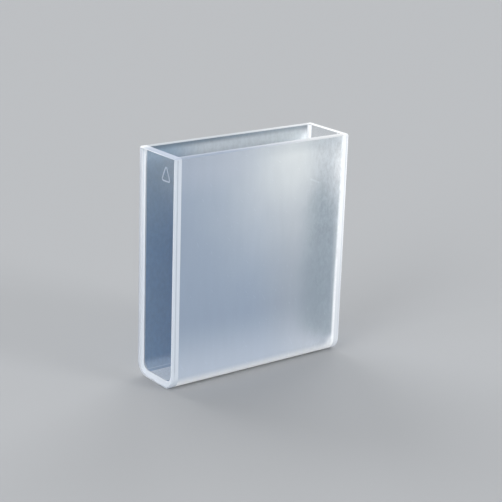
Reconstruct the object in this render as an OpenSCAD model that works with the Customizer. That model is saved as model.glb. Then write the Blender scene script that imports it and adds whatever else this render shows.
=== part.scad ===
// Fused quartz cell for photometry, open at the top.
// A ground U-shaped channel carries the liquid, and a clear polished window is
// fused face to face on each of its two ends. The light path runs along X.
// Units are millimetres. The origin is the centre of the underside, +Z is up.

/* [Light path] */
// Liquid length between the two windows
path_length = 40; // [10:0.5:100]
// Thickness of each polished window
window_t = 1.5; // [1:0.25:4]

/* [Channel] */
// Width over the two ground side walls
cell_w = 12.5; // [11:0.5:40]
// Height from the underside to the rim
cell_h = 47.5; // [20:0.5:80]
// Thickness of each ground side wall
side_t = 1.25; // [1:0.25:2.5]
// Thickness of the floor
floor_t = 1.25; // [1:0.25:5]
// Radius of the inner bottom corners, along the whole path
inner_r = 1.75; // [0.5:0.25:2.5]
// Radius of the outer bottom corners
outer_r = 3; // [1.5:0.25:4]

/* [Edges] */
// Arris ground on the outer edges of the rim and the windows
arris = 0.25; // [0.1:0.05:0.4]
// Smaller arris on the inner edges of the rim
inner_arris = 0.12; // [0.05:0.01:0.2]

/* [Finish] */
// Colour of the ground faces
ground_colour = "LightSteelBlue"; // [LightSteelBlue, Lavender, White]
// Colour of the polished windows
clear_colour = "AliceBlue"; // [AliceBlue, Azure, White]

/* [Hidden] */
$fn = 96;
half_path = path_length / 2;
inner_w = cell_w - 2 * side_t;
overrun = 1; // how far a cut runs past the face it opens

// U outline of the outside: straight sides, a flat underside and two round
// bottom corners, with the rim's outer edges cut back by the arris.
module outer_outline() {
    polygon([
        [-cell_w / 2, outer_r], [cell_w / 2, outer_r],
        [cell_w / 2, cell_h - arris], [cell_w / 2 - arris, cell_h],
        [-cell_w / 2 + arris, cell_h], [-cell_w / 2, cell_h - arris]
    ]);
    translate([-cell_w / 2 + outer_r, 0])
        square([cell_w - 2 * outer_r, outer_r + overrun]);
    for (side = [-1, 1])
        translate([side * (cell_w / 2 - outer_r), outer_r]) circle(r = outer_r);
}

// Outline of the liquid space, open at the rim, with its own smaller corners.
// The last points widen it at the rim, which leaves the inner arris.
module cavity_outline() {
    corner_z = floor_t + inner_r;
    polygon([
        [-inner_w / 2, corner_z], [inner_w / 2, corner_z],
        [inner_w / 2, cell_h - inner_arris],
        [inner_w / 2 + inner_arris, cell_h],
        [inner_w / 2 + inner_arris, cell_h + overrun],
        [-inner_w / 2 - inner_arris, cell_h + overrun],
        [-inner_w / 2 - inner_arris, cell_h],
        [-inner_w / 2, cell_h - inner_arris]
    ]);
    translate([-inner_w / 2 + inner_r, floor_t])
        square([inner_w - 2 * inner_r, inner_r + overrun]);
    for (side = [-1, 1])
        translate([side * (inner_w / 2 - inner_r), corner_z]) circle(r = inner_r);
}

// Stands an outline drawn in (across, up) on edge and runs it along X.
module along_path(length) {
    rotate([90, 0, 90])
        translate([0, 0, -length / 2])
            linear_extrude(height = length) children();
}

// The channel is one ground length of U section, open at both ends.
module channel() {
    color(ground_colour)
        along_path(path_length)
            difference() {
                outer_outline();
                cavity_outline();
            }
}

// Side outline of a window in (out from the cell, up): square where it meets
// the channel, with an arris on the outer face at the rim and the underside.
module window_side_outline() {
    polygon([
        [0, 0], [window_t - arris, 0],
        [window_t, arris], [window_t, cell_h - arris],
        [window_t - arris, cell_h], [0, cell_h]
    ]);
}

// Top outline of a window in (out from the cell, across).
module window_top_outline() {
    polygon([
        [0, -cell_w / 2], [window_t - arris, -cell_w / 2],
        [window_t, -cell_w / 2 + arris], [window_t, cell_w / 2 - arris],
        [window_t - arris, cell_w / 2], [0, cell_w / 2]
    ]);
}

// One round bottom corner of a window, coned off at its outer face.
module window_corner() {
    rotate([0, 90, 0]) {
        cylinder(r = outer_r, h = window_t - arris);
        translate([0, 0, window_t - arris])
            cylinder(r1 = outer_r, r2 = outer_r - arris, h = arris);
    }
}

// A window with its fused face on x = 0 and its polished face at window_t.
// It follows the outer outline of the channel all the way round.
module window() {
    intersection() {
        translate([0, 0, outer_r])
            linear_extrude(height = cell_h - outer_r) window_top_outline();
        rotate([90, 0, 0]) translate([0, 0, -cell_w / 2])
            linear_extrude(height = cell_w) window_side_outline();
        along_path(2 * window_t + overrun) outer_outline();
    }
    rotate([90, 0, 0]) translate([0, 0, -cell_w / 2 + outer_r])
        linear_extrude(height = cell_w - 2 * outer_r) window_side_outline();
    for (side = [-1, 1])
        translate([0, side * (cell_w / 2 - outer_r), outer_r]) window_corner();
}

// Window that the light enters, fused on the channel's -X end.
module entry_window() {
    color(clear_colour) translate([-half_path, 0, 0]) mirror([1, 0, 0]) window();
}

// Window that the light leaves by, fused on the channel's +X end.
module exit_window() {
    color(clear_colour) translate([half_path, 0, 0]) window();
}

channel();
entry_window();
exit_window();
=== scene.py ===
"""A fused quartz sample cell: a ground U channel between two polished windows.

The cell stands on a plain pale floor under soft studio light. Sizes are in metres, in the
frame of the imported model: +X runs along the light path, +Z up to the open rim.
"""

import logging
import math
from dataclasses import dataclass
from enum import Enum

import bpy
from mathutils import Euler, Matrix, Vector


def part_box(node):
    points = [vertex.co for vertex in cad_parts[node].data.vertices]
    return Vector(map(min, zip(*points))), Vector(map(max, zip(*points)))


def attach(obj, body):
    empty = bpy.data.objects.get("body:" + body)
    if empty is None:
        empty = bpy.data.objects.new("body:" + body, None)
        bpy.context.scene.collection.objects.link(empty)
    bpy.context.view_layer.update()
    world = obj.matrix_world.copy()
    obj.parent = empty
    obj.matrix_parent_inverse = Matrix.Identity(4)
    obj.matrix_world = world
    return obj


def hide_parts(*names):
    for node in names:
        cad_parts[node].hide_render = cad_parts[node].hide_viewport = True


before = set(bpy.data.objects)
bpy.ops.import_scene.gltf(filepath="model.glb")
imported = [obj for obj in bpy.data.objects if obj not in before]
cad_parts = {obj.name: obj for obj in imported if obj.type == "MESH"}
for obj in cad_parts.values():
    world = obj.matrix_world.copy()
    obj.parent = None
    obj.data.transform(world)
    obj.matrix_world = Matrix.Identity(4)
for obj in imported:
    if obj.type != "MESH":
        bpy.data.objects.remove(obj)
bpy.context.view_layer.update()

LOG = logging.getLogger("quartz_cell")
MM = 0.001
BODY = "root"
SMOOTH_ANGLE = math.radians(30)
QUARTZ_IOR = 1.458

Colour = tuple[float, float, float]
Point2 = tuple[float, float]
Point3 = tuple[float, float, float]


class End(Enum):
    """The end of the light path that a window closes, as its sign along X."""

    ENTRY = -1
    EXIT = 1


class Axis(Enum):
    """The axis that a pattern changes along."""

    X = 0
    Y = 1
    Z = 2


class Zone(Enum):
    """The finishes on a piece of the cell. The value is the place of its material slot."""

    OUTSIDE = 0
    INSIDE = 1
    EDGE = 2


# -------------------------------- node trees


class Pattern:
    """Something that changes from place to place on a surface. Its lengths are in millimetres."""

    def on(self, sheet: "ShaderSheet") -> bpy.types.NodeSocket:
        """Lay the pattern out on a material's sheet and give its output socket."""
        raise NotImplementedError


class NodeSheet:
    """A shader or geometry node tree, with short ways to add nodes and join them."""

    def __init__(self, tree: bpy.types.NodeTree) -> None:
        """Start on an empty tree.

        Args:
            tree: The tree to fill. Its default nodes are removed.
        """
        self.tree = tree
        self.tree.nodes.clear()

    def add(self, kind: str, inputs: dict[int | str, object] | None = None,
            **settings: object) -> bpy.types.Node:
        """Add a node, set its properties and feed its inputs.

        Args:
            kind: The node's Blender type name.
            inputs: What to feed, by the input's name or place.
            settings: Property names with their values.

        Returns:
            The new node.
        """
        node = self.tree.nodes.new(kind)
        for name, value in settings.items():
            setattr(node, name, value)
        for key, value in (inputs or {}).items():
            self.feed(node.inputs[key], value)
        return node

    def result(self, kind: str, inputs: dict[int | str, object],
               **settings: object) -> bpy.types.NodeSocket:
        """Add a node, as add does, and give its first live output socket."""
        node = self.add(kind, inputs, **settings)
        return next(socket for socket in node.outputs if socket.enabled)

    def feed(self, socket: bpy.types.NodeSocket, value: object) -> None:
        """Join an output to an input, or set the input to a plain value.

        Args:
            socket: The input socket.
            value: An output socket, a pattern, a number, a vector or a colour.
        """
        if isinstance(value, Pattern):
            value = value.on(self)
        if isinstance(value, bpy.types.NodeSocket):
            self.tree.links.new(value, socket)
        elif socket.type == "RGBA":
            socket.default_value = (*value, 1.0)
        else:
            socket.default_value = value

    def math(self, operation: str, first: object, second: object = 0.0) -> bpy.types.NodeSocket:
        """Work out one number from one or two others."""
        return self.result("ShaderNodeMath", {0: first, 1: second}, operation=operation)

    def product(self, first: object, *others: object) -> object:
        """Multiply numbers.

        Args:
            first: A socket, a pattern or a number.
            others: The rest of them.

        Returns:
            The product's output socket, or the first itself where it stands alone.
        """
        for other in others:
            first = self.math("MULTIPLY", first, other)
        return first

    def ramp(self, value: object, low: float, high: float,
             to_low: float = 0.0, to_high: float = 1.0) -> bpy.types.NodeSocket:
        """Map a number from one range to another with soft ends.

        Args:
            value: The number's socket.
            low: The value that gives to_low.
            high: The value that gives to_high.
            to_low: Result at low and below.
            to_high: Result at high and above.

        Returns:
            The mapped number's output socket.
        """
        inputs = {"Value": value, "From Min": low, "From Max": high, "To Min": to_low, "To Max": to_high}
        return self.result("ShaderNodeMapRange", inputs, interpolation_type="SMOOTHSTEP")

    def blend(self, factor: object, first: object, second: object) -> bpy.types.NodeSocket:
        """Blend two colours.

        Args:
            factor: How much of the second colour shows, from 0 to 1.
            first: A colour, its socket or a pattern of colour.
            second: Another.

        Returns:
            The blended colour's output socket.
        """
        inputs = {"Factor": factor, "A": first, "B": second}
        return self.result("ShaderNodeMix", inputs, data_type="RGBA")

    def mix_shaders(self, factor: object, first: bpy.types.NodeSocket,
                    second: bpy.types.NodeSocket) -> bpy.types.NodeSocket:
        """Mix two shaders, with a factor of 1 for the second alone."""
        return self.result("ShaderNodeMixShader", {0: factor, 1: first, 2: second})

    def split(self, vector: bpy.types.NodeSocket) -> tuple[bpy.types.NodeSocket, ...]:
        """Give a vector's X, Y and Z sockets."""
        return tuple(self.add("ShaderNodeSeparateXYZ", {0: vector}).outputs)


class ShaderSheet(NodeSheet):
    """A material's node tree, on the object's own coordinates."""

    def __init__(self, name: str) -> None:
        """Make the material.

        Args:
            name: The material's name.
        """
        self.material = bpy.data.materials.new(name)
        self.material.use_nodes = True
        super().__init__(self.material.node_tree)
        self.place = self.add("ShaderNodeTexCoord").outputs["Object"]
        self.x, self.y, self.z = self.split(self.place)

    def noise(self, size: Point3, detail: float = 2.0, roughness: float = 0.5) -> bpy.types.NodeSocket:
        """A seedless noise.

        Args:
            size: Length of one feature along X, Y and Z, in millimetres.
            detail: Octaves of finer noise.
            roughness: Strength of the finer octaves.

        Returns:
            The noise value's output socket, from 0 to 1.
        """
        scale = tuple(1.0 / (length * MM) for length in size)
        place = self.result("ShaderNodeMapping", {"Vector": self.place, "Scale": scale})
        inputs = {"Vector": place, "Scale": 1.0, "Detail": detail, "Roughness": roughness}
        return self.result("ShaderNodeTexNoise", inputs)

    def finish(self, shader: bpy.types.NodeSocket) -> bpy.types.Material:
        """Join a shader to the material's output and give the finished material."""
        self.add("ShaderNodeOutputMaterial", {"Surface": shader})
        return self.material


# -------------------------------- patterns


@dataclass(frozen=True)
class Fade(Pattern):
    """A share that changes softly from start, at low, to end, at high, along one axis.

    Where about is given, it changes with the distance from two lines instead, which lie so far
    to either side of the middle.
    """

    axis: Axis
    low: float
    high: float
    start: float = 0.0
    end: float = 1.0
    about: float | None = None

    def on(self, sheet: ShaderSheet) -> bpy.types.NodeSocket:
        """Lay the fade out.

        Args:
            sheet: The material's sheet.

        Returns:
            The share's output socket.
        """
        place = (sheet.x, sheet.y, sheet.z)[self.axis.value]
        if self.about is not None:
            offset = sheet.math("SUBTRACT", sheet.math("ABSOLUTE", place), self.about * MM)
            place = sheet.math("ABSOLUTE", offset)
        return sheet.ramp(place, self.low * MM, self.high * MM, self.start, self.end)


@dataclass(frozen=True)
class Patches(Pattern):
    """A share that wanders in soft patches, from start to end as a noise goes from low to high."""

    size: Point3
    low: float
    high: float
    start: float = 0.0
    end: float = 1.0
    detail: float = 2.0
    roughness: float = 0.5

    def on(self, sheet: ShaderSheet) -> bpy.types.NodeSocket:
        """Lay the patches out and give the share's output socket."""
        noise = sheet.noise(self.size, self.detail, self.roughness)
        return sheet.ramp(noise, self.low, self.high, self.start, self.end)


@dataclass(frozen=True)
class Gradient(Pattern):
    """A tone that turns into another as a share grows."""

    first: Colour | Pattern
    second: Colour | Pattern
    share: Pattern

    def on(self, sheet: ShaderSheet) -> bpy.types.NodeSocket:
        """Lay the tones out and give the colour's output socket."""
        return sheet.blend(self.share, self.first, self.second)


@dataclass(frozen=True)
class Scratch(Pattern):
    """One pale scratch on the front, set slantwise.

    Each pair says where a fade starts and ends: ends as shares of the length, the others as
    distances from the scratch's middle.
    """

    centre: Point3
    length: float
    slope: float
    strength: float
    ends: Point2 = (0.5, 0.62)
    sides: Point2 = (0.08, 0.26)
    depth: Point2 = (0.5, 1.0)

    def on(self, sheet: ShaderSheet) -> bpy.types.NodeSocket:
        """Lay the scratch out.

        Args:
            sheet: The material's sheet.

        Returns:
            How much it adds to a colour's factor.
        """
        centre = tuple(place * MM for place in self.centre)
        inputs = {"Vector": sheet.place, "Location": centre, "Rotation": (0.0, self.slope, 0.0)}
        along, deep, across = sheet.split(sheet.result("ShaderNodeMapping", inputs, vector_type="TEXTURE"))
        level = self.strength
        for place, fade, unit in ((sheet.math("ABSOLUTE", along), self.ends, self.length * MM),
                                  (sheet.math("ABSOLUTE", across), self.sides, MM),
                                  (deep, self.depth, MM)):
            level = sheet.product(sheet.ramp(place, fade[0] * unit, fade[1] * unit, 1.0, 0.0), level)
        return level


@dataclass(frozen=True)
class ScratchField(Pattern):
    """Short bright scratches, all set slantwise, here and there."""

    apart: float
    slope: float
    strength: float
    half_width: float = 0.05
    wander: Point3 = (3, 3, 3)
    places: Patches = Patches((1.1, 1.1, 1.1), 0.68, 0.74, detail=0.0)

    def on(self, sheet: ShaderSheet) -> bpy.types.NodeSocket:
        """Lay the scratches out.

        Args:
            sheet: The material's sheet.

        Returns:
            How much they add to a colour's factor.
        """
        scale = (1 / (self.apart * MM),) * 3
        inputs = {"Vector": sheet.place, "Rotation": (0.0, self.slope, 0.0), "Scale": scale}
        rows = sheet.split(sheet.result("ShaderNodeMapping", inputs))[0]
        across = sheet.math("FRACT", sheet.math("ADD", rows, sheet.noise(self.wander, detail=1.0)))
        offset = sheet.math("ABSOLUTE", sheet.math("SUBTRACT", across, 0.5))
        line = sheet.ramp(offset, 0.0, self.half_width, 1.0, 0.0)
        return sheet.product(line, self.places, self.strength)


@dataclass(frozen=True)
class Layer:
    """A tone laid over a finish, as strongly as the product of its shares."""

    tone: Colour | Pattern
    shares: tuple[Pattern, ...]

    def over(self, sheet: ShaderSheet, colour: object) -> bpy.types.NodeSocket:
        """Lay the tone over a colour and give the new colour's output socket."""
        return sheet.blend(sheet.product(*self.shares), colour, self.tone)


# -------------------------------- finishes


@dataclass(frozen=True)
class QuartzFinish:
    """Ground quartz: a rough face of slightly uneven tone that lets some light through.

    The layers are laid over the tone in order. Each mark is the product of its patterns, and
    makes the face that much lighter or darker.
    """

    name: str
    tone: Colour | Pattern
    layers: tuple[Layer, ...] = ()
    marks: tuple[tuple[Pattern, ...], ...] = ()
    roughness: float = 0.55
    through: float = 0.15
    grain: Patches = Patches((0.25, 0.25, 0.35), 0.2, 0.8, 0.988, 1.012)
    pore_size: Point3 = (0.18, 0.18, 0.3)
    pore_strength: float = 0.3
    pore_depth: float = 0.015 * MM

    def colour(self, sheet: ShaderSheet) -> object:
        """Lay out the finish's colour before its texture.

        Args:
            sheet: The material's sheet.

        Returns:
            The colour or its output socket.
        """
        colour = self.tone
        for layer in self.layers:
            colour = layer.over(sheet, colour)
        return colour

    def texture(self, sheet: ShaderSheet) -> bpy.types.NodeSocket:
        """Lay out the fine light and dark of the surface.

        Args:
            sheet: The material's sheet.

        Returns:
            A factor around 1 for the colour.
        """
        level = self.grain.on(sheet)
        for mark in self.marks:
            level = sheet.math("ADD", level, sheet.product(*mark))
        return level

    def build(self) -> bpy.types.Material:
        """Build the finish.

        Returns:
            The material.
        """
        sheet = ShaderSheet(self.name)
        scaled = {0: self.colour(sheet), "Scale": self.texture(sheet)}
        colour = sheet.result("ShaderNodeVectorMath", scaled, operation="SCALE")
        pores = {"Height": sheet.noise(self.pore_size), "Strength": self.pore_strength,
                 "Distance": self.pore_depth}
        skin = {"Base Color": colour, "Roughness": self.roughness, "IOR": QUARTZ_IOR,
                "Normal": sheet.result("ShaderNodeBump", pores)}
        face = sheet.result("ShaderNodeBsdfPrincipled", skin)
        glow = sheet.result("ShaderNodeBsdfTranslucent", {"Color": colour})
        return sheet.finish(sheet.mix_shaders(self.through, face, glow))


WALL_SHADE = (0.225, 0.28, 0.325)
WORN_AND_GLINT_PART = (Fade(Axis.X, 8, 17), Fade(Axis.Z, 10, 38, 0.4, 1.0))


@dataclass(frozen=True)
class GroundFace(QuartzFinish):
    """The channel's ground outside: milky blue-grey, with a painted glow, a painted band of shade and a
    lit foot.
    """

    name: str = "ground_face"
    tone: Pattern = Gradient((0.253, 0.315, 0.409), (0.280, 0.325, 0.390), Fade(Axis.X, -3, 9))
    through: float = 0.05
    drift: Patches = Patches((7, 7, 10), 0.2, 0.8, -1.1 * MM, 1.1 * MM)
    # A round glow of painted light, high up and right of the middle.
    glow_tone: Colour = (0.665, 0.70, 0.71)
    glow_centre: Point3 = (7.7 * MM, 4 * MM, 44 * MM)
    glow_core: float = 2.5 * MM
    glow_reach: float = 40 * MM
    glow_fall: float = 2.5
    # An upright band of painted shade near the exit end, which ends low down along a slant.
    shade_band_x: float = 15 * MM
    shade_band_width: float = 7.5 * MM
    shade_band_share: float = 0.69
    shade_band_slant: float = 0.5
    shade_band_foot: Point2 = (2 * MM, 8 * MM)
    shade_band_head: Fade = Fade(Axis.Z, 32, 44.5, 1.0, 0.0)
    # Painted light low down on the wall, strongest at the foot.
    foot: Layer = Layer(Gradient((0.435, 0.495, 0.585), (0.485, 0.53, 0.595), Fade(Axis.X, 0, 14)),
                        (Fade(Axis.Z, 1.5, 15, 0.95, 0.0),))
    layers: tuple[Layer, ...] = (
        # Shade under the rim, deeper towards the exit.
        Layer(WALL_SHADE, (Fade(Axis.Z, 44.5, 46.5), Fade(Axis.X, -6, 13, 0.05, 0.22))),
        # A crown of painted light over the entry half.
        Layer((0.42, 0.455, 0.525), (Fade(Axis.Z, 38, 45, 0.0, 0.35), Fade(Axis.X, -8, 0, 1.0, 0.0))),
        # Shade beside the exit seam, low down.
        Layer(WALL_SHADE, (Fade(Axis.X, 15, 18, 0.0, 0.4), Fade(Axis.Z, 3.4, 4.8),
                           Fade(Axis.Z, 5, 15, 1.0, 0.2))),
        # Light along the exit side, above the foot.
        Layer((0.56, 0.61, 0.65), (Fade(Axis.X, 18, 20, 0.0, 0.6), Fade(Axis.Z, 7, 15, 0.1, 1.0))),
        # Painted light in the upper exit corner, and a painted glint in it.
        Layer((0.76, 0.79, 0.81), (Fade(Axis.X, 14.5, 20, 0.0, 0.5), Fade(Axis.Z, 31, 40),
                                   Fade(Axis.Z, 44, 47, 1.0, 0.55))),
        Layer((0.95, 0.965, 0.975), (Fade(Axis.X, 17.2, 19.6, 0.0, 0.29), Fade(Axis.Z, 37, 40),
                                     Fade(Axis.Z, 42.3, 45.8, 1.0, 0.0))),
    )
    # The bright band at the exit window's seam, partly the pale seam and partly painted light, which
    # spreads a little towards the foot.
    seam_light_tone: Colour = (0.86, 0.89, 0.92)
    seam_from: float = 19.3 * MM
    seam_to: float = 19.9 * MM
    seam_share: float = 0.95
    seam_light_spread: Fade = Fade(Axis.Z, 8, 34, 0.27 * MM, 0.0)
    # The lit line along the foot, and the round lit corner where it meets the seam.
    foot_light: Colour = (0.965, 0.985, 1.0)
    foot_line: Fade = Fade(Axis.Z, 0.6, 3.0, 1.0, 0.0)
    corner: tuple[Fade, ...] = (Fade(Axis.X, 16.8, 19.8), Fade(Axis.Z, 1.6, 5.2, 1.0, 0.0))
    corner_from: float = 0.04
    corner_to: float = 0.55
    corner_share: float = 0.42
    marks: tuple[tuple[Pattern, ...], ...] = (
        # Faint grinding streaks.
        (Patches((1.6, 1.6, 9), 0.25, 0.75, -0.012, 0.012),),
        # A coarser mottle in the worn part, partly painted glints of the frosted surface.
        (Patches((0.6, 0.6, 1.2), 0.3, 0.7, -0.105, 0.105, detail=4.0, roughness=0.7), *WORN_AND_GLINT_PART),
        (Patches((1.8, 1.8, 2.4), 0.3, 0.7, -0.04, 0.04, detail=1.0), *WORN_AND_GLINT_PART),
        # Pale flecks in the upper exit corner, painted glints of the frosted surface.
        (Patches((0.4, 0.4, 2.4), 0.56, 0.68, 0.0, 0.075, detail=1.0),
         Fade(Axis.X, 14, 17), Fade(Axis.Z, 33, 39)),
        # A longer scratch just outside the painted glow, and short ones.
        (Scratch((12.9, -6.25, 38.7), length=2.4, slope=math.radians(24), strength=0.11),),
        (ScratchField(apart=1.6, slope=math.radians(28), strength=0.12),),
    )

    def colour(self, sheet: ShaderSheet) -> bpy.types.NodeSocket:
        """Lay out the painted glow, the painted light at the foot, the painted band of shade, the other
        shades and the lit edges.

        Args:
            sheet: The material's sheet.

        Returns:
            The colour's output socket.
        """
        drift = self.drift.on(sheet)
        # The round glow of painted light.
        colour = sheet.blend(self.painted_glow(sheet, drift), self.tone, self.glow_tone)
        colour = self.foot.over(sheet, colour)
        # The upright band of painted shade.
        colour = sheet.blend(self.painted_shade_band(sheet, drift), colour, WALL_SHADE)
        for layer in self.layers:
            colour = layer.over(sheet, colour)
        # The pale seam with its painted light.
        by_seam = sheet.math("ADD", sheet.x, self.seam_light_spread)
        seam = sheet.ramp(by_seam, self.seam_from, self.seam_to, 0.0, self.seam_share)
        colour = sheet.blend(seam, colour, self.seam_light_tone)
        corner = sheet.product(*self.corner)
        corner = sheet.ramp(corner, self.corner_from, self.corner_to, 0.0, self.corner_share)
        colour = sheet.blend(corner, colour, self.foot_light)
        return sheet.blend(self.foot_line, colour, self.foot_light)

    def painted_glow(self, sheet: ShaderSheet, drift: bpy.types.NodeSocket) -> bpy.types.NodeSocket:
        """Lay out the round painted glow, which falls off all the way to its reach.

        Places are flattened onto Y = 0, so the centre's Y only rounds the glow's middle off.

        Args:
            sheet: The material's sheet.
            drift: A small wandering length, which loosens its outline.

        Returns:
            The glow's share.
        """
        flat = {0: sheet.place, 1: (1.0, 0.0, 1.0)}
        ends = {0: sheet.result("ShaderNodeVectorMath", flat, operation="MULTIPLY"), 1: self.glow_centre}
        away = sheet.math("ADD", sheet.result("ShaderNodeVectorMath", ends, operation="DISTANCE"), drift)
        inward = sheet.math("SUBTRACT", self.glow_reach, away)
        inward = sheet.math("DIVIDE", inward, self.glow_reach - self.glow_core)
        return sheet.math("POWER", sheet.math("MAXIMUM", inward, 0.0), self.glow_fall)

    def painted_shade_band(self, sheet: ShaderSheet, drift: bpy.types.NodeSocket) -> bpy.types.NodeSocket:
        """Lay out the upright band of painted shade, which ends low down along a slant.

        Args:
            sheet: The material's sheet.
            drift: A small wandering length, which loosens its sides.

        Returns:
            The band's share.
        """
        offset = sheet.math("SUBTRACT", sheet.math("ADD", sheet.x, drift), self.shade_band_x)
        band = sheet.ramp(sheet.math("ABSOLUTE", offset), 0.0, self.shade_band_width, self.shade_band_share, 0.0)
        slant = sheet.product(sheet.math("SUBTRACT", sheet.x, self.shade_band_x), self.shade_band_slant)
        above_foot = sheet.ramp(sheet.math("ADD", sheet.z, slant), *self.shade_band_foot)
        return sheet.product(band, above_foot, self.shade_band_head)


# Tones of the painted light high on the bore's walls, bluer towards the entry.
FAR_WALL_LIGHT = Gradient((0.62, 0.665, 0.70), (0.72, 0.765, 0.775), Fade(Axis.X, 2, 20))
UPPER_WALL_LIGHT = Gradient((0.32, 0.43, 0.545), FAR_WALL_LIGHT, Fade(Axis.X, -18.5, -5.5))
RIM_SHADE = (0.128, 0.172, 0.218)
FLOOR_LIGHT = (0.97, 0.985, 1.0)
IN_CORNER = Fade(Axis.Z, 2.4, 3.0, 1.0, 0.0)


@dataclass(frozen=True)
class GroundBore(QuartzFinish):
    """The channel's ground inside: deep blue-grey, with painted light high on the walls and on the floor,
    and painted shade under the rim.
    """

    name: str = "ground_bore"
    tone: Colour = (0.197, 0.355, 0.552)
    through: float = 0.08
    layers: tuple[Layer, ...] = (
        # Painted light, growing up the walls towards the rim and palest by the exit window.
        Layer(Gradient(UPPER_WALL_LIGHT, (0.84, 0.86, 0.87), Fade(Axis.X, 16.5, 19.5)), (Fade(Axis.Z, 25, 44),)),
        # Shade under the rim, in a soft reach and a deep one.
        Layer(RIM_SHADE, (Fade(Axis.Z, 45, 46.5, 0.0, 0.22),)),
        Layer(RIM_SHADE, (Fade(Axis.Z, 46.1, 47.2, 0.0, 0.9), Fade(Axis.X, -8, 14, 1.0, 0.7))),
        # Painted light on the floor, weaker in its corners.
        Layer((0.90, 0.94, 0.98), (Fade(Axis.Y, 2.8, 3.1, 1.0, 0.32, about=0.0),
                                   Fade(Axis.Z, 1.8, 3.6, 1.0, 0.0))),
        # Lines of light along the floor's corners.
        Layer(FLOOR_LIGHT, (Fade(Axis.Y, 0, 0.2, 0.35, 0.0, about=3.95), IN_CORNER)),
        Layer(FLOOR_LIGHT, (Fade(Axis.Y, 0, 0.2, 1.0, 0.0, about=2.7), IN_CORNER)),
    )
    marks: tuple[tuple[Pattern, ...], ...] = (
        # The mottle left by the grinding of the bore.
        (Patches((0.6, 0.6, 1.0), 0.3, 0.7, -0.05, 0.05, detail=3.0, roughness=0.6),),
    )


@dataclass(frozen=True)
class PolishedFinish:
    """Optically polished quartz, clear and faintly blue, with a thin film of haze under the rim.

    The lamps' light and the fill light pass straight through it.
    """

    name: str
    tint: Colour = (0.965, 0.98, 1.0)
    smear: Patches = Patches((4, 4, 9), 0.4, 0.8, 0.0, 0.012, detail=3.0)
    film_tone: Colour = (0.80, 0.84, 0.83)
    film: tuple[Pattern, ...] = (
        Fade(Axis.Z, 38.5, 43.5, 0.0, 0.03),
        Patches((2.5, 2.5, 1.6), 0.35, 0.65, 0.4, 1.0, detail=3.0),
        Fade(Axis.Y, -2.5, 3, 1.0, 0.45),
    )

    def build(self) -> bpy.types.Material:
        """Build the finish.

        Returns:
            The material.
        """
        sheet = ShaderSheet(self.name)
        body = {"Base Color": self.tint, "Roughness": self.smear, "IOR": QUARTZ_IOR,
                "Transmission Weight": 1.0}
        glass = sheet.result("ShaderNodeBsdfPrincipled", body)
        haze = sheet.result("ShaderNodeBsdfDiffuse", {"Color": self.film_tone})
        clear = sheet.result("ShaderNodeBsdfTransparent", {"Color": self.tint})
        ray = sheet.add("ShaderNodeLightPath").outputs
        lets_by = sheet.math("MAXIMUM", ray["Is Shadow Ray"], ray["Is Diffuse Ray"])
        hazed = sheet.mix_shaders(sheet.product(*self.film), glass, haze)
        return sheet.finish(sheet.mix_shaders(lets_by, hazed, clear))


@dataclass(frozen=True)
class FloorFinish:
    """A plain matt floor."""

    name: str
    tone: Colour
    roughness: float = 0.6

    def build(self) -> bpy.types.Material:
        """Build the finish.

        Returns:
            The material.
        """
        sheet = ShaderSheet(self.name)
        skin = {"Base Color": self.tone, "Roughness": self.roughness, "Specular IOR Level": 0.0}
        return sheet.finish(sheet.result("ShaderNodeBsdfPrincipled", skin))


@dataclass(frozen=True)
class EndFinish:
    """The finishes at one end of the cell, and how far its bead climbs the window."""

    fused: QuartzFinish
    edge: QuartzFinish
    bead: QuartzFinish
    bead_rise: float


ON_FRONT = Fade(Axis.Y, -4, 0, 1.0, 0.0)
LINE_BREAKS = Patches((1.2, 1.2, 5), 0.3, 0.6, 0.7, 1.0)
SEAM_LINE_Y = 5.7
SEAM_LINE_WIDTH = 0.4
EDGE_LINE_X = 20.88


def seam_line(tone: Colour) -> Layer:
    """The faint broken line down both sides of a fused seam."""
    return Layer(tone, (Fade(Axis.Y, 0, SEAM_LINE_WIDTH, 1.0, 0.0, about=SEAM_LINE_Y), LINE_BREAKS))


def edge_line(tone: Colour, width: float) -> Layer:
    """The faint broken line within a window's ground edge, strongest on the front.

    Args:
        tone: Its colour.
        width: How far it fades to each side, in millimetres.

    Returns:
        The layer.
    """
    return Layer(tone, (Fade(Axis.X, 0, width, 1.0, 0.0, about=EDGE_LINE_X), LINE_BREAKS,
                        Fade(Axis.Y, -4, -2, 1.0, 0.25), Fade(Axis.Z, 2, 5),
                        Fade(Axis.Z, 47.0, 47.3, 1.0, 0.0)))


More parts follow.
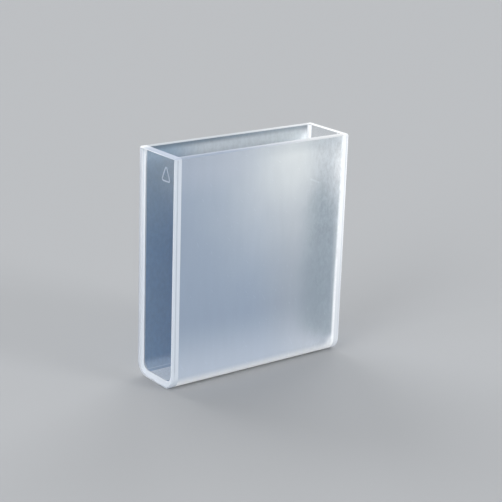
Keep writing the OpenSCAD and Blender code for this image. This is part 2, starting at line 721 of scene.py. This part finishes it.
GROUND_RIM = QuartzFinish("ground_rim", (0.74, 0.765, 0.79), (
    # Painted shade, deeper towards the entry end; on the front rim a bluer painted shade that fades out
    # towards the exit.
    Layer((0.57, 0.61, 0.65), (Fade(Axis.X, -2, 18, 1.0, 0.0),)),
    Layer(Gradient((0.365, 0.425, 0.53), (0.77, 0.785, 0.80), Fade(Axis.X, -14, 19)), (ON_FRONT,)),
))
ETCHED_LINE = QuartzFinish("etched_line", (0.60, 0.66, 0.74), through=0.5)
END_FINISHES = {
    End.ENTRY: EndFinish(
        fused=QuartzFinish("fused_entry", (0.80, 0.83, 0.87), (
            # Painted light high up on the back half of the fused face.
            Layer((0.955, 0.965, 0.97), (Fade(Axis.Z, 18, 40), Fade(Axis.Y, 0, 5))),
            seam_line((0.74, 0.78, 0.83)),
        )),
        edge=QuartzFinish("entry_edge", (0.88, 0.90, 0.925), (
            # Painted shade on the front side of the edge, which is paler behind.
            Layer((0.60, 0.65, 0.715), (ON_FRONT,)),
            # Painted shade along the top of the edge, except at the back.
            Layer((0.475, 0.535, 0.645), (Fade(Axis.Z, 47.2, 47.45), Fade(Axis.Y, 3, 5.8, 1.0, 0.0))),
            edge_line((0.38, 0.43, 0.50), width=0.2),
        )),
        bead=QuartzFinish("entry_bead", (0.86, 0.88, 0.90), through=0.0),
        bead_rise=0.12 * MM),
    End.EXIT: EndFinish(
        fused=QuartzFinish("fused_exit", (0.72, 0.75, 0.79), (seam_line((0.66, 0.70, 0.75)),)),
        edge=QuartzFinish("exit_edge", (0.90, 0.92, 0.94), (
            # Painted shade, deeper towards the foot.
            Layer((0.66, 0.69, 0.73), (Fade(Axis.Z, 8, 34, 1.0, 0.0),)),
            edge_line((0.56, 0.60, 0.66), width=0.16),
        )),
        bead=QuartzFinish("exit_bead", (0.98, 0.985, 0.99), through=0.0),
        bead_rise=0.9 * MM),
}


# -------------------------------- meshes


def plain_mesh(name: str, points: list[Point3], edges: list[tuple[int, int]],
               faces: list[tuple[int, ...]]) -> bpy.types.Mesh:
    """Make a mesh from lists.

    Args:
        name: The mesh's name.
        points: Corners.
        edges: Loose edges as pairs of corner numbers.
        faces: Faces as rings of corner numbers.

    Returns:
        The mesh.
    """
    mesh = bpy.data.meshes.new(name)
    mesh.from_pydata(points, edges, faces)
    mesh.update()
    return mesh


def shade_by_angle(mesh: bpy.types.Mesh) -> None:
    """Shade round stretches smooth and keep the true edges sharp."""
    mesh.shade_smooth()
    mesh.set_sharp_from_angle(angle=SMOOTH_ANGLE)


def dress(mesh: bpy.types.Mesh, finishes: list[bpy.types.Material], zones: list[Zone]) -> None:
    """Give each face the finish of its zone.

    Args:
        mesh: The mesh.
        finishes: The finishes, in the order of the zones' values.
        zones: The zone of each face.
    """
    mesh.materials.clear()
    for finish in finishes:
        mesh.materials.append(finish)
    for face, zone in zip(mesh.polygons, zones):
        face.material_index = zone.value


def wear(piece: bpy.types.Object) -> None:
    """Let a piece ride on the cell.

    Args:
        piece: The piece.
    """
    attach(piece, BODY)


def shown(name: str, mesh: bpy.types.Mesh) -> bpy.types.Object:
    """Put a mesh in the scene, at the origin.

    Args:
        name: The piece's name.
        mesh: Its mesh, with its place in its corners.

    Returns:
        The new object.
    """
    piece = bpy.data.objects.new(name, mesh)
    bpy.context.scene.collection.objects.link(piece)
    return piece


def grow(name: str, seed_mesh: bpy.types.Mesh, tree: bpy.types.NodeTree,
         values: dict[str, object]) -> bpy.types.Mesh:
    """Run a geometry tree on a seed mesh and keep its result as a plain mesh.

    Args:
        name: Name of the result.
        seed_mesh: The mesh that the tree starts from.
        tree: The geometry tree.
        values: The tree's named inputs with their values.

    Returns:
        The result, with no modifier left.
    """
    seed = shown(f"{name}_seed", seed_mesh)
    modifier = seed.modifiers.new("grow", "NODES")
    modifier.node_group = tree
    for item in tree.interface.items_tree:
        if item.name in values:
            modifier[item.identifier] = values[item.name]
    graph = bpy.context.evaluated_depsgraph_get()
    mesh = bpy.data.meshes.new_from_object(seed.evaluated_get(graph), depsgraph=graph)
    mesh.name = name
    bpy.data.objects.remove(seed)
    bpy.data.meshes.remove(seed_mesh)
    return mesh


class SweepTree(NodeSheet):
    """A geometry tree that sweeps a section along a path."""

    def __init__(self, name: str, *numbers: str) -> None:
        """Start a tree with a geometry input, named numbers and a material.

        Args:
            name: The tree's name.
            numbers: Names of its number inputs.
        """
        tree = bpy.data.node_groups.new(name, "GeometryNodeTree")
        tree.interface.new_socket("Geometry", in_out="INPUT", socket_type="NodeSocketGeometry")
        for number in numbers:
            tree.interface.new_socket(number, in_out="INPUT", socket_type="NodeSocketFloat")
        tree.interface.new_socket("Material", in_out="INPUT", socket_type="NodeSocketMaterial")
        tree.interface.new_socket("Geometry", in_out="OUTPUT", socket_type="NodeSocketGeometry")
        super().__init__(tree)
        self.given = dict(self.add("NodeGroupInput").outputs.items())
        self.seed = self.result("GeometryNodeMeshToCurve", {0: self.given["Geometry"]})

    def point(self, x: object, y: object = 0.0) -> bpy.types.NodeSocket:
        """Give a point on the XY plane."""
        return self.result("ShaderNodeCombineXYZ", {"X": x, "Y": y})

    def sweep(self, path: bpy.types.NodeSocket, profile: bpy.types.NodeSocket) -> bpy.types.NodeTree:
        """Run a profile along a path with closed ends, give it its material and end the tree.

        Args:
            path: The path curve's socket.
            profile: The profile curve's socket.

        Returns:
            The finished tree.
        """
        inputs = {"Curve": path, "Profile Curve": profile, "Fill Caps": True}
        swept = self.result("GeometryNodeCurveToMesh", inputs)
        real = self.result("GeometryNodeRealizeInstances", {0: swept})
        inputs = {"Geometry": real, "Material": self.given["Material"]}
        self.add("NodeGroupOutput", {0: self.result("GeometryNodeSetMaterial", inputs)})
        return self.tree


# -------------------------------- the cell


@dataclass(frozen=True)
class CellSizes:
    """The sizes that the cell's pieces share."""

    path: float
    width: float
    height: float
    window: float
    wall: float = 1.25 * MM
    floor: float = 1.25 * MM
    inner_radius: float = 1.75 * MM
    outer_radius: float = 3.0 * MM
    arris: float = 0.25 * MM
    inner_arris: float = 0.12 * MM
    arc_steps: int = 18

    @classmethod
    def from_frame(cls) -> "CellSizes":
        """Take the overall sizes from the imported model's nodes.

        Returns:
            The sizes.
        """
        low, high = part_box("channel")
        window_low, window_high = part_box("exit_window")
        return cls(path=high[0] - low[0], width=high[1] - low[1], height=high[2] - low[2],
                   window=window_high[0] - window_low[0])

    @property
    def half_path(self) -> float:
        """Half of the light path."""
        return self.path / 2

    def u_path(self, half: float, bottom: float, radius: float) -> list[Point2]:
        """Walk down the +Y wall, along the bottom and up the -Y wall.

        Args:
            half: Half of the width over the walls.
            bottom: Height of the flat bottom.
            radius: Radius of both corners.

        Returns:
            Points in (Y, Z), from where one corner starts to where the other ends.
        """
        corner = []
        for step in range(self.arc_steps + 1):
            angle = math.pi / 2 * step / self.arc_steps
            corner.append((half - radius + radius * math.cos(angle),
                           bottom + radius - radius * math.sin(angle)))
        return corner + [(-y, z) for y, z in reversed(corner)]

    def outer_path(self, inset: float = 0.0) -> list[Point2]:
        """The outside of the U, from rim to rim, with the arris on its two top edges.

        Args:
            inset: How far the outline is moved in.

        Returns:
            Points in (Y, Z).
        """
        half = self.width / 2 - inset
        top = self.height - inset
        # A flat cut at 45 degrees grows shorter as the outline moves in.
        cut = self.arris - inset * (2 - math.sqrt(2))
        start = [(half - cut, top), (half, top - cut)]
        end = [(-y, z) for y, z in reversed(start)]
        return start + self.u_path(half, inset, self.outer_radius - inset) + end

    def inner_path(self) -> list[Point2]:
        """The liquid space's outline, from rim to rim, with the small arris at the rim.

        Returns:
            Points in (Y, Z).
        """
        half = self.width / 2 - self.wall
        cut = self.inner_arris
        start = [(half + cut, self.height), (half, self.height - cut)]
        end = [(-y, z) for y, z in reversed(start)]
        return start + self.u_path(half, self.floor, self.inner_radius) + end


@dataclass
class GroundChannel:
    """The ground length of U section that the windows close.

    It stops short of each window by its seat gap. Slack is the play in judging a face's place.
    """

    sizes: CellSizes
    outside: bpy.types.Material
    inside: bpy.types.Material
    edge: bpy.types.Material
    seat_gap: float = 0.01 * MM
    slack: float = 0.01 * MM

    def build(self) -> bpy.types.Object:
        """Build the channel.

        Returns:
            The channel piece, which stands for the CAD node.
        """
        loop = self.sizes.outer_path() + list(reversed(self.sizes.inner_path()))
        # A profile's own X and Y come out as -Y and -Z on a path along +X.
        points = [(-y, -z, 0.0) for y, z in loop]
        edges = [(i, (i + 1) % len(loop)) for i in range(len(loop))]
        seed = plain_mesh("channel_section", points, edges, [])
        mesh = grow("ground_channel", seed, self.tree(),
                    {"Length": self.sizes.path - 2 * self.seat_gap, "Material": self.outside})
        # The loop runs clockwise as seen from +X, so the sweep's faces point inwards.
        mesh.flip_normals()
        dress(mesh, [self.outside, self.inside, self.edge], [self.zone(face) for face in mesh.polygons])
        shade_by_angle(mesh)
        piece = shown("ground_channel", mesh)
        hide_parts("channel")
        wear(piece)
        return piece

    @staticmethod
    def tree() -> bpy.types.NodeTree:
        """A tree that runs the seed's closed section along X, centred, over a Length.

        Returns:
            The tree.
        """
        sheet = SweepTree("section_along_x", "Length")
        half = sheet.product(sheet.given["Length"], 0.5)
        ends = {"Start": sheet.point(sheet.product(half, -1.0)), "End": sheet.point(half)}
        line = sheet.result("GeometryNodeCurvePrimitiveLine", ends)
        return sheet.sweep(line, sheet.seed)

    def zone(self, face: bpy.types.MeshPolygon) -> Zone:
        """Tell which finish a face has.

        Args:
            face: A face of the channel.

        Returns:
            The zone that it lies in.
        """
        sizes = self.sizes
        on_end = abs(face.normal.x) > 0.5
        if on_end or face.center.z > sizes.height - sizes.arris - self.slack:
            return Zone.EDGE
        between_walls = abs(face.center.y) < sizes.width / 2 - sizes.wall + self.slack
        above_floor = face.center.z > sizes.floor - self.slack
        return Zone.INSIDE if between_walls and above_floor else Zone.OUTSIDE


@dataclass
class Window:
    """A polished plate, fused on one end of the channel."""

    sizes: CellSizes
    end: End
    polished: bpy.types.Material
    fused: bpy.types.Material
    edge: bpy.types.Material

    @property
    def name(self) -> str:
        """The piece's name."""
        return f"{self.end.name.lower()}_pane"

    def ring(self, depth: float, inset: float) -> list[Point3]:
        """One closed outline of the plate, with the liquid space's two rim points in its top edge.

        Args:
            depth: Distance out from the fused face.
            inset: How far the outline is moved in.

        Returns:
            Points in 3D.
        """
        inner = self.sizes.inner_path()
        top = self.sizes.height - inset
        outline = self.sizes.outer_path(inset) + [(inner[-1][0], top), (inner[0][0], top)]
        x = self.end.value * (self.sizes.half_path + depth)
        return [(x, y, z) for y, z in outline]

    def build(self) -> bpy.types.Object:
        """Build the window.

        Returns:
            The window piece, which stands for the CAD node.
        """
        thick, arris = self.sizes.window, self.sizes.arris
        rings = [self.ring(0.0, 0.0), self.ring(thick - arris, 0.0), self.ring(thick, arris)]
        count = len(rings[0])
        points = [point for ring in rings for point in ring]
        faces: list[tuple[int, ...]] = []
        for start in (0, count):
            for i in range(count):
                a, b = start + i, start + (i + 1) % count
                faces.append((a, b, b + count, a + count))
        zones = [Zone.EDGE] * len(faces)
        faces.append(tuple(range(2 * count, 3 * count)))
        zones.append(Zone.OUTSIDE)
        # The fused face: a strip on the channel's end and the clear part within it.
        fused_x = self.end.value * self.sizes.half_path
        inner = [(fused_x, y, z) for y, z in self.sizes.inner_path()[1:-1]]
        inner_ids = [count - 1, *range(3 * count, 3 * count + len(inner)), count - 2]
        points += inner
        for i in range(len(inner_ids) - 1):
            faces.append((i, inner_ids[i], inner_ids[i + 1], i + 1))
            zones.append(Zone.INSIDE)
        faces.append(tuple(reversed(inner_ids)))
        zones.append(Zone.OUTSIDE)
        mesh = plain_mesh(self.name, points, [], faces)
        if self.end is End.EXIT:
            mesh.flip_normals()
        dress(mesh, [self.polished, self.fused, self.edge], zones)
        shade_by_angle(mesh)
        piece = shown(self.name, mesh)
        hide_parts(f"{self.end.name.lower()}_window")
        wear(piece)
        return piece


@dataclass
class FusionBead:
    """The small fillet of melted quartz between a window and the channel's inside.

    Leg is its width on the wall and rise its width on the window. Its back lies as deep as sink
    in both.
    """

    sizes: CellSizes
    end: End
    finish: bpy.types.Material
    rise: float
    leg: float = 0.4 * MM
    sink: float = 0.004 * MM

    def build(self) -> bpy.types.Object:
        """Build the bead.

        Returns:
            The bead piece.
        """
        x = self.end.value * self.sizes.half_path
        points = [(x, y, z) for y, z in self.sizes.inner_path()[1:-1]]
        edges = [(i, i + 1) for i in range(len(points) - 1)]
        name = f"{self.end.name.lower()}_fusion_bead"
        seed = plain_mesh(f"{name}_path", points, edges, [])
        mesh = grow(name, seed, self.tree(),
                    {"Leg": self.leg, "Rise": self.rise, "Direction": float(-self.end.value),
                     "Sink": self.sink, "Material": self.finish})
        # A Direction of -1 mirrors the section, which turns the faces inwards.
        if self.end is End.EXIT:
            mesh.flip_normals()
        shade_by_angle(mesh)
        piece = shown(name, mesh)
        wear(piece)
        return piece

    @staticmethod
    def tree() -> bpy.types.NodeTree:
        """A tree that runs a hollow fillet along the seed's open path.

        Its Direction is the sign of X in which the fillet spreads along the wall.

        Returns:
            The tree.
        """
        sheet = SweepTree("bead_along_path", "Leg", "Rise", "Direction", "Sink")
        leg, rise, direction, sink = (sheet.given[name] for name in ("Leg", "Rise", "Direction", "Sink"))
        back = sheet.product(sink, -1.0)
        # How far along each leg the middle of a quarter-round hollow lies.
        hollow = 1.0 - math.sqrt(0.5)
        middle = (sheet.product(leg, hollow), sheet.product(rise, hollow))
        corners = ((back, back), (leg, back), middle, (back, rise))
        inputs = {f"Point {number}": sheet.point(sheet.product(along, direction), inward)
                  for number, (along, inward) in enumerate(corners, start=1)}
        section = sheet.result("GeometryNodeCurvePrimitiveQuadrilateral", inputs, mode="POINTS")
        return sheet.sweep(sheet.seed, section)


@dataclass
class EtchedMark:
    """A plain hollow triangle, etched on the entry window to show which way the light goes in."""

    sizes: CellSizes
    finish: bpy.types.Material
    across: float = 2.8 * MM
    tall: float = 3.1 * MM
    centre_y: float = -3.2 * MM
    below_rim: float = 3.4 * MM
    line: float = 0.3 * MM
    proud: float = 0.02 * MM
    corner: float = 0.3 * MM
    corner_steps: int = 5

    def build(self) -> bpy.types.Object:
        """Build the mark.

        Returns:
            The mark's piece.
        """
        half_w, half_h = self.across / 2, self.tall / 2
        corners = [(-half_w, -half_h, 0.0), (half_w, -half_h, 0.0), (0.0, half_h, 0.0)]
        seed = plain_mesh("mark_path", corners, [(0, 1), (1, 2), (2, 0)], [])
        mesh = grow("etched_mark", seed, self.tree(),
                    {"Line": self.line, "Proud": self.proud, "Corner": self.corner,
                     "Material": self.finish})
        face_x = -(self.sizes.half_path + self.sizes.window)
        turn = Euler((math.pi / 2, 0.0, -math.pi / 2)).to_matrix().to_4x4()
        place = Matrix.Translation((face_x, self.centre_y, self.sizes.height - self.below_rim))
        mesh.transform(place @ turn)
        shade_by_angle(mesh)
        piece = shown("etched_mark", mesh)
        wear(piece)
        return piece

    def tree(self) -> bpy.types.NodeTree:
        """A tree that draws a flat line round the seed's closed path, with rounded corners.

        Returns:
            The tree.
        """
        sheet = SweepTree("outline_mark", "Line", "Proud", "Corner")
        inputs = {"Curve": sheet.seed, "Count": self.corner_steps, "Radius": sheet.given["Corner"]}
        rounded = sheet.result("GeometryNodeFilletCurve", inputs, mode="POLY")
        inputs = {"Width": sheet.given["Line"], "Height": sheet.given["Proud"]}
        section = sheet.result("GeometryNodeCurvePrimitiveQuadrilateral", inputs, mode="RECTANGLE")
        return sheet.sweep(rounded, section)


@dataclass
class QuartzCell:
    """The whole cell: the channel, its two windows, their beads and the mark."""

    sizes: CellSizes

    def build(self) -> list[bpy.types.Object]:
        """Build and dress every piece.

        Returns:
            The pieces.
        """
        channel = GroundChannel(self.sizes, GroundFace().build(), GroundBore().build(), GROUND_RIM.build())
        polished = PolishedFinish("polished_face").build()
        pieces = [channel.build()]
        for end, finish in END_FINISHES.items():
            window = Window(self.sizes, end, polished, finish.fused.build(), finish.edge.build())
            bead = FusionBead(self.sizes, end, finish.bead.build(), finish.bead_rise)
            pieces += [window.build(), bead.build()]
        pieces.append(EtchedMark(self.sizes, ETCHED_LINE.build()).build())
        return pieces


# -------------------------------- the studio


def direction(azimuth: float, elevation: float) -> Vector:
    """The way out from the cell, with azimuth 0 along -Y and 90 along +X.

    Args:
        azimuth: Degrees round the upright axis.
        elevation: Degrees above the floor.

    Returns:
        A unit vector.
    """
    a, e = math.radians(azimuth), math.radians(elevation)
    return Vector((math.sin(a) * math.cos(e), -math.cos(a) * math.cos(e), math.sin(e)))


@dataclass(frozen=True)
class SoftLamp:
    """A wide, far, white lamp that lights cell and floor alike."""

    name: str
    azimuth: float
    elevation: float
    level: float
    spread: float = 40.0

    def build(self) -> None:
        """Hang the lamp. A white face square to it renders at the lamp's level."""
        data = bpy.data.lights.new(self.name, "SUN")
        data.angle = math.radians(self.spread)
        data.energy = self.level * math.pi
        lamp = bpy.data.objects.new(self.name, data)
        bpy.context.scene.collection.objects.link(lamp)
        lamp.rotation_euler = direction(self.azimuth, self.elevation).to_track_quat("Z", "Y").to_euler()


@dataclass
class Studio:
    """The floor, the soft light and the camera."""

    aim: Vector
    azimuth: float = -37.49
    elevation: float = 17.49
    roll: float = 1.85
    distance: float = 300 * MM
    focal_length: float = 106.1
    sensor: float = 36.0
    near_clip: float = 0.01
    far_clip: float = 20.0
    floor_reach: float = 4.0
    floor_drop: float = 0.05 * MM
    floor_tone: Colour = (0.425, 0.434, 0.447)
    sky_tone: Colour = (0.503, 0.516, 0.532)
    fill_tone: Colour = (0.97, 0.985, 1.0)
    fill: float = 0.55

    def build(self) -> None:
        """Build the studio and choose the plain view transform."""
        self.lay_floor()
        self.fill_light()
        self.hang_lamps()
        self.place_camera()
        bpy.context.scene.view_settings.view_transform = "Standard"

    def lay_floor(self) -> None:
        """Lay the pale floor a hair under the cell, so that light reaches the windows' undersides."""
        reach, z = self.floor_reach, -self.floor_drop
        corners = [(-reach, -reach, z), (reach, -reach, z), (reach, reach, z), (-reach, reach, z)]
        mesh = plain_mesh("studio_floor", corners, [], [(0, 1, 2, 3)])
        mesh.materials.append(FloorFinish("matt_floor", self.floor_tone).build())
        shown("studio_floor", mesh)

    def fill_light(self) -> None:
        """Set the even fill light, and the backdrop's tone for camera and glass rays."""
        world = bpy.data.worlds.new("studio_air")
        world.use_nodes = True
        bpy.context.scene.world = world
        sheet = NodeSheet(world.node_tree)
        ray = sheet.add("ShaderNodeLightPath").outputs
        seen = ray["Is Camera Ray"]
        for kind in ("Is Glossy Ray", "Is Transmission Ray"):
            seen = sheet.math("MAXIMUM", seen, ray[kind])
        backdrop = sheet.result("ShaderNodeBackground", {"Color": self.sky_tone, "Strength": 1.0})
        air = sheet.result("ShaderNodeBackground", {"Color": self.fill_tone, "Strength": self.fill})
        sheet.add("ShaderNodeOutputWorld", {"Surface": sheet.mix_shaders(seen, air, backdrop)})

    def hang_lamps(self) -> None:
        """Hang a key lamp in front, two lamps behind and one on the left."""
        lamps = (
            SoftLamp("key_lamp", azimuth=28, elevation=10, level=0.59, spread=24),
            SoftLamp("rim_lamp", azimuth=125, elevation=24, level=0.36),
            SoftLamp("back_lamp", azimuth=180, elevation=28, level=0.45, spread=50),
            SoftLamp("side_lamp", azimuth=-78, elevation=20, level=0.60),
        )
        for lamp in lamps:
            lamp.build()

    def place_camera(self) -> None:
        """Place the camera and make it the scene's own."""
        data = bpy.data.cameras.new("studio_camera")
        data.lens = self.focal_length
        data.sensor_width = self.sensor
        data.clip_start, data.clip_end = self.near_clip, self.far_clip
        camera = bpy.data.objects.new("studio_camera", data)
        bpy.context.scene.collection.objects.link(camera)
        away = direction(self.azimuth, self.elevation)
        camera.location = self.aim + away * self.distance
        level = away.to_track_quat("Z", "Y").to_matrix().to_4x4()
        rolled = level @ Matrix.Rotation(math.radians(self.roll), 4, "Z")
        camera.rotation_euler = rolled.to_euler()
        bpy.context.scene.camera = camera


def main() -> None:
    """Build the cell and its studio, and report each piece."""
    logging.basicConfig(level=logging.INFO, format="%(name)s: %(message)s")
    for piece in QuartzCell(CellSizes.from_frame()).build():
        LOG.info("%s: %d faces", piece.name, len(piece.data.polygons))
    Studio(aim=Vector((-0.1, -2.6, 24.9)) * MM).build()


if __name__ == "__main__":
    main()
